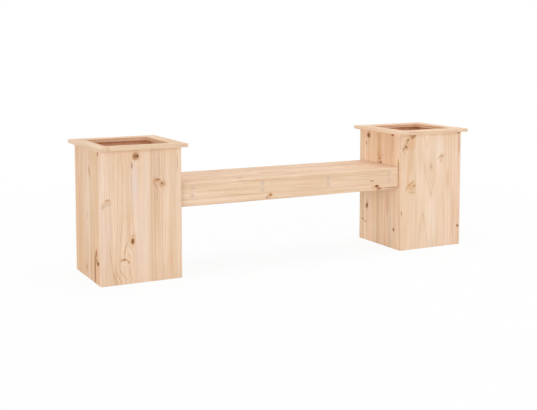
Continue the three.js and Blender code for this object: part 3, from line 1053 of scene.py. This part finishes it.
def seat_boards(material):
    chance = random.Random("seat")
    panel_low, panel_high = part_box("seat_panel")
    back_staves = [wild_stave(chance, APRON_WIDTH)]
    back_knots = wild_knots(chance, back_staves, *APRON_KNOTS_BEHIND)
    for apron, into, face, staves, knots, marks in (
            ("front", "+Y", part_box("seat_front_apron")[0].y, APRON_STAVES, APRON_KNOTS, APRON_MARKS),
            ("back", "-Y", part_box("seat_back_apron")[1].y, back_staves, back_knots, [])):
        node = f"seat_{apron}_apron"
        board(node, "-Z", "+X", into, staves, pine(node, knots, marks + SCREW_RUBS), SEAT_EASE, (into,),
              Vector((0.0, face, panel_high.z)), holes=screw_holes(apron))
    board("seat_panel", "+Y", "+X", "-Z", PANEL_STAVES, pine("seat_panel", PANEL_KNOTS, PANEL_MARKS),
          HIDDEN_EASE, ("+Y", "-Y"), Vector((0.0, panel_low.y, panel_high.z)))
    for node in UNDER_SEAT:
        board(node, "-Z", "+Y", "+X", [wild_stave(chance, BATTEN_WIDTH)], material, HIDDEN_EASE)


# Screws. One is made standing in the ground: its head's face at the origin, looking up.
def revolved(profile):
    """A closed solid from a profile of (radius, height), from the axis at the top to the axis below."""
    shape = bmesh.new()
    points = [shape.verts.new((radius, 0.0, height)) for radius, height in profile]
    lines = [shape.edges.new(pair) for pair in zip(points, points[1:])]
    bmesh.ops.spin(shape, geom=points + lines, cent=(0, 0, 0), axis=(0, 0, 1), angle=2 * math.pi,
                   steps=SCREW_SIDES, use_merge=True)
    bmesh.ops.remove_doubles(shape, verts=shape.verts[:], dist=1e-6)
    bmesh.ops.recalc_face_normals(shape, faces=shape.faces[:])
    return shape


def cross_recess():
    """The cutter for a plain cross recess, narrower at its bottom, as one closed shape."""
    half = RECESS_HALF_WIDTH
    arm = [Vector(corner) for corner in ((RECESS_REACH, -half), (RECESS_REACH, half), (half, half))]
    quarters = [Matrix.Rotation(quarter * math.pi / 2, 2) for quarter in range(4)]
    outline = [turn @ corner * RECESS_FLARE for turn in quarters for corner in arm]
    shape, bottom = extruded(outline, RECESS_DEPTH, -2 * RECESS_DEPTH)
    bmesh.ops.scale(shape, vec=(RECESS_FLARE ** -2, RECESS_FLARE ** -2, 1), verts=bottom)
    return new_object("recess", mesh_of(shape, "recess"))


def add_thread(shape, length):
    """Winds a ridge round the lower two thirds of a screw's shank."""
    crest, inside = SHANK_RADIUS + THREAD_HEIGHT, SHANK_RADIUS - THREAD_ROOT
    past_crest = 1.1 * crest
    top, bottom = -THREAD_START_SHARE * length, TIP_LENGTH - length
    turns = (top - bottom) / THREAD_PITCH
    steps = round(turns * THREAD_STEPS)
    ridge = [(inside, bottom - THREAD_HALF_WIDTH), (crest, bottom), (inside, bottom + THREAD_HALF_WIDTH)]
    start = shape.faces.new([shape.verts.new((radius, 0.0, height)) for radius, height in ridge])
    bmesh.ops.spin(shape, geom=[start], cent=(0, 0, 0), axis=(0, 0, 1), dvec=(0, 0, (top - bottom) / steps),
                   angle=2 * math.pi * turns, steps=steps)

    def on_shank(corner):
        return corner.co.xy.length < past_crest and corner.co.z < top + MM

    wound = [face for face in shape.faces if all(on_shank(corner) for corner in face.verts)]
    bmesh.ops.recalc_face_normals(shape, faces=wound)


def screw_shape(length):
    """A countersunk screw with a cross recess and a thread, as a mesh. Length 0 gives a head alone."""
    flat, smallest_round = 0.95, 0.02 * MM * MM
    neck = SHANK_RADIUS if length else 0.5 * SHANK_RADIUS
    profile = [(0.0, -HEAD_DISH), (HEAD_RADIUS - 2 * HEAD_RIM, 0.0),
               (HEAD_RADIUS - 0.4 * HEAD_RIM, -0.4 * HEAD_RIM), (HEAD_RADIUS, -1.2 * HEAD_RIM),
               (HEAD_RADIUS - 0.3 * HEAD_RIM, -2 * HEAD_RIM), (neck, -HEAD_DEPTH)]
    if length:
        profile += [(SHANK_RADIUS, TIP_LENGTH - length), (0.4 * SHANK_RADIUS, 0.3 * TIP_LENGTH - length)]
    profile += [(0.0, -(length or HEAD_DEPTH))]
    made = new_object("screw", mesh_of(revolved(profile), "screw"))
    cut_with(made, cross_recess())
    shape = bmesh.new()
    shape.from_mesh(made.data)
    bpy.data.objects.remove(made)
    if length:
        add_thread(shape, length)
    for face in shape.faces:
        face.smooth = abs(face.normal.z) < flat and face.calc_area() > smallest_round
    return mesh_of(shape, "screw")


def apron_screw_nodes(apron):
    return [f"{apron}_{row}_screw_{number}" for row in ("upper", "lower") for number in (1, 2, 3, 4)]


def screw_place(node):
    """The middle of a screw's head and the way that its head looks."""
    low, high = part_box(node)
    to_front = node.startswith("front")
    face = low.y if to_front else high.y
    return Vector(((low.x + high.x) / 2, face, (low.z + high.z) / 2)), AXES["-Y" if to_front else "+Y"]


def add_copy(shape, mesh, place, facing, turn):
    """Adds a copy of a mesh made at the origin looking up, put where it belongs."""
    before = len(shape.verts)
    shape.from_mesh(mesh)
    aim = facing.to_track_quat("Z", "Y").to_matrix().to_4x4()
    move = Matrix.Translation(place) @ aim @ Matrix.Rotation(turn, 4, "Z")
    bmesh.ops.transform(shape, verts=shape.verts[before:], matrix=move)


def apron_screws(material):
    chance = random.Random("apron screws")
    low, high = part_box("front_upper_screw_1")
    mesh = screw_shape(high.y - low.y)
    for node in apron_screw_nodes("front") + apron_screw_nodes("back"):
        shape = bmesh.new()
        add_copy(shape, mesh, *screw_place(node), chance.uniform(0, math.pi))
        finish_piece(shape, f"steel_{node}", (node,), material)


def screw_holes(apron):
    """One cutter for an apron's eight countersunk holes."""
    shank, mouth = SHANK_RADIUS + THREAD_HEIGHT + HOLE_ROOM, HEAD_RADIUS + HOLE_ROOM
    above, edge, below = 1 * MM, -0.5 * MM, -20 * MM
    profile = [(0.0, above), (mouth, above), (mouth, edge), (shank, -HEAD_DEPTH - HOLE_ROOM),
               (shank, below), (0.0, below)]
    drill = mesh_of(revolved(profile), "drill")
    cutter = bmesh.new()
    for node in apron_screw_nodes(apron):
        add_copy(cutter, drill, *screw_place(node), 0.0)
    return new_object("holes", mesh_of(cutter, "holes"))


def fixing_heads(name, places, material):
    """The heads of screws that hold hidden boards, as one piece. places are (place, way it looks)."""
    chance = random.Random(name)
    mesh = screw_shape(0.0)
    heads = bmesh.new()
    for place, way in places:
        stood = Vector(place) * MM + AXES[way] * HEAD_PROUD
        add_copy(heads, mesh, stood, AXES[way], chance.uniform(0, math.pi))
    finish_piece(heads, name, (), material)


def box_in_mm(node):
    return [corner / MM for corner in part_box(node)]


def planter_fixings(side, material):
    """Heads on the posts, on the floor slats, and inside the wall that carries the seat bearer."""
    places = []
    wall_low, wall_high = box_in_mm(f"{side}_planter_front_wall")
    for post in POSTS:
        low, high = box_in_mm(f"{side}_{post}_post")
        middle = (low + high) / 2
        face_x, way_x = (high.x, "+X") if low.x < (wall_low.x + wall_high.x) / 2 else (low.x, "-X")
        face_y, way_y = (high.y, "+Y") if post.startswith("front") else (low.y, "-Y")
        places += [((face_x, middle.y, height), way_x) for height in POST_SCREWS_X]
        places += [((middle.x, face_y, height), way_y) for height in POST_SCREWS_Y]
    low, high = box_in_mm(f"{side}_floor_front_bearer")
    bearer = abs(low.y + high.y) / 2
    for number in (1, 2, 3):
        low, high = box_in_mm(f"{side}_floor_slat_{number}")
        middle = (low.x + high.x) / 2
        places += [((middle + x, y, high.z), "+Z") for x in SLAT_SCREWS for y in (-bearer, bearer)]
    low, high = box_in_mm(f"{side}_planter_inner_wall")
    inside, way = (low.x, "-X") if side == "left" else (high.x, "+X")
    low, high = box_in_mm(f"{side}_seat_bearer")
    places += [((inside, y, (low.z + high.z) / 2), way) for y in BEARER_SCREWS]
    fixing_heads(f"steel_{side}_planter_fixings", places, material)


def seat_fixings(material):
    """Heads under the battens and bearers, whose screws reach up into the seat panel."""
    places = []
    for node in UNDER_SEAT:
        low, high = box_in_mm(node)
        places += [(((low.x + high.x) / 2, y, low.z), "-Z") for y in BATTEN_SCREWS]
    fixing_heads("steel_seat_fixings", places, material)


# The studio
def seen_rays(wires):
    """1 for the rays that show the floor or the sky themselves, and 0 for those that light things."""
    path = wires.outputs(wires.node("ShaderNodeLightPath"))
    shown = wires.total([path["Is Camera Ray"], path["Is Glossy Ray"], path["Is Transmission Ray"]])
    return wires.math("MINIMUM", shown, 1.0)


def floor():
    """A white floor that keeps a faint shadow. Inside the planters it is left in their shade, and it
    lets light up into them. From below it isn't there, so that one can look at undersides."""
    shape = bmesh.new()
    bmesh.ops.create_circle(shape, cap_ends=True, segments=FLOOR_SIDES, radius=FLOOR_RADIUS)
    bmesh.ops.translate(shape, verts=shape.verts[:], vec=(0.0, 0.0, -FLOOR_GAP))
    made = new_object("floor", mesh_of(shape, "floor"))
    material = bpy.data.materials.new("pale floor")
    wires = bare_wiring(material)
    place = wires.flow("ShaderNodeTexCoord", output="Object")
    x, y, _ = place.parts()
    aside = wires.math("ABSOLUTE", wires.math("ABSOLUTE", x) - PLANTER_MIDDLE)
    reach = wires.math("MAXIMUM", aside, wires.math("ABSOLUTE", y))
    outside = reach.step(PLANTER_INSIDE, PLANTER_INSIDE + SHADE_EDGE)
    seen = seen_rays(wires)
    glowing = seen * wires.length(x, y).step(*SHADOW_REACH, SHADOWLESS_SHARE, 1.0) * outside
    paint = wires.flow("ShaderNodeBsdfDiffuse", {"Color": FLOOR_PAINT})
    glow = wires.flow("ShaderNodeEmission", {"Color": WHITE})
    lit = wires.flow("ShaderNodeMixShader", [glowing, paint, glow])
    under = wires.flow("ShaderNodeNewGeometry", output="Backfacing")
    gone = wires.math("MAXIMUM", under, 1.0 - wires.math("MAXIMUM", outside, seen))
    clear = wires.flow("ShaderNodeBsdfTransparent")
    surface = wires.flow("ShaderNodeMixShader", [gone, lit, clear])
    wires.node("ShaderNodeOutputMaterial", {"Surface": surface})
    made.data.materials.append(material)


def sky():
    """An even white sky."""
    world = bpy.data.worlds.new("white studio")
    bpy.context.scene.world = world
    wires = bare_wiring(world)
    strength = seen_rays(wires) * (1.0 - SKY_LIGHT) + SKY_LIGHT
    background = wires.flow("ShaderNodeBackground", [WHITE, strength])
    wires.node("ShaderNodeOutputWorld", {"Surface": background})


def lamps():
    for name, (place, aim, width, height, watts) in LAMPS.items():
        light = bpy.data.lights.new(name, "AREA")
        light.shape = "RECTANGLE"
        light.size = width
        light.size_y = height
        light.energy = watts
        lamp = new_object(name, light)
        lamp.location = place
        lamp.rotation_euler = (aim - place).to_track_quat("-Z", "Y").to_euler()


def camera():
    data = bpy.data.cameras.new("camera")
    data.lens = CAMERA_LENS
    data.sensor_width = CAMERA_SENSOR
    data.sensor_fit = "HORIZONTAL"
    data.shift_y = CAMERA_SHIFT
    made = new_object("camera", data)
    made.location = CAMERA_PLACE
    made.rotation_euler = (math.pi / 2 - CAMERA_PITCH, 0.0, -CAMERA_YAW)
    bpy.context.scene.camera = made


camera()
lamps()
floor()
sky()
plain_pine = pine("planed pine")
steel = zinc_steel()
for planter_side in ("left", "right"):
    walls(planter_side)
    posts(planter_side, plain_pine)
    rim(planter_side, plain_pine)
    planter_floor(planter_side, plain_pine)
    planter_fixings(planter_side, steel)
seat_boards(plain_pine)
apron_screws(steel)
seat_fixings(steel)
bpy.context.scene.view_settings.view_transform = "Standard"
